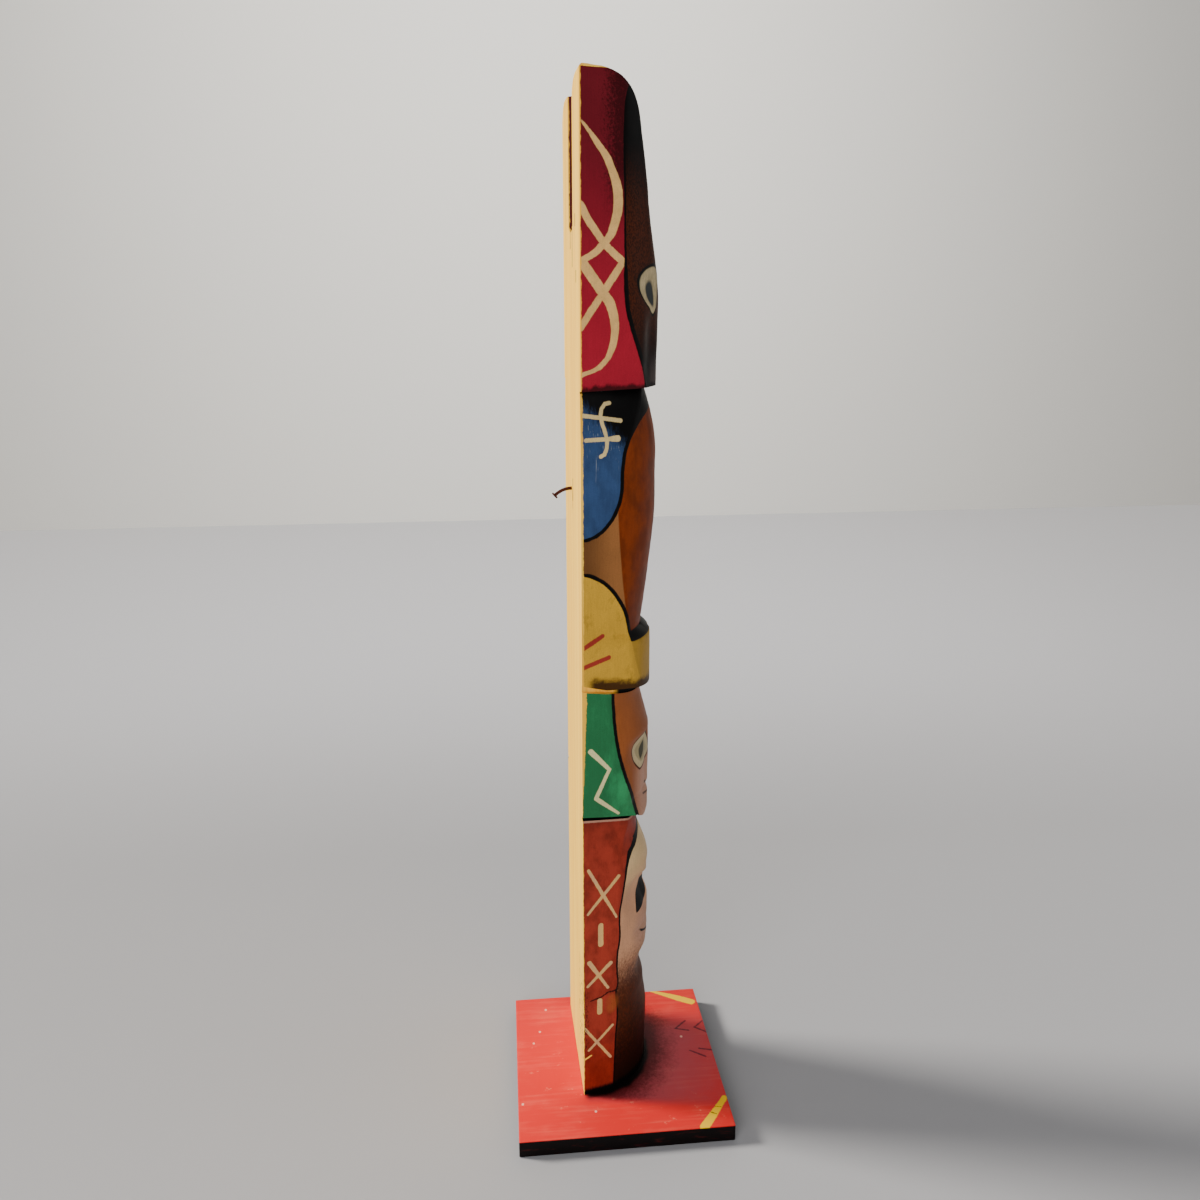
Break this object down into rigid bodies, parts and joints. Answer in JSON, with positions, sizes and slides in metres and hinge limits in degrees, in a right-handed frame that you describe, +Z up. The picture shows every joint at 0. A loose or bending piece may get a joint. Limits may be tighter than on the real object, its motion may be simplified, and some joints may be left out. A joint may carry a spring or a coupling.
{
  "type": "totem pole",
  "caption": "Carved and painted half-log totem pole with a flat bare back and split ears, standing on a thin square board.",
  "frame": {"origin": "centre of the base board's underside", "axes": "+Z up the pole, -Y out of the carved front, +Y out of the flat back, X across the width"},
  "size_m": [0.2, 0.2, 0.9143],
  "materials": {
    "painted_carving": "hand-painted half log in satin house paint: dark red, black, brown, blue, yellow, green and cream, worn at the edges, with a bare straw-coloured flat back",
    "painted_board": "brushed red satin paint on top with pink scuffs and yellow corner bands, black painted edges",
    "rusty_nail": "dark brown rust"
  },
  "bodies": {
    "root": {"totem_pole": "painted_carving", "base_board": "painted_board", "nail": "rusty_nail"}
  },
  "joints": []
}
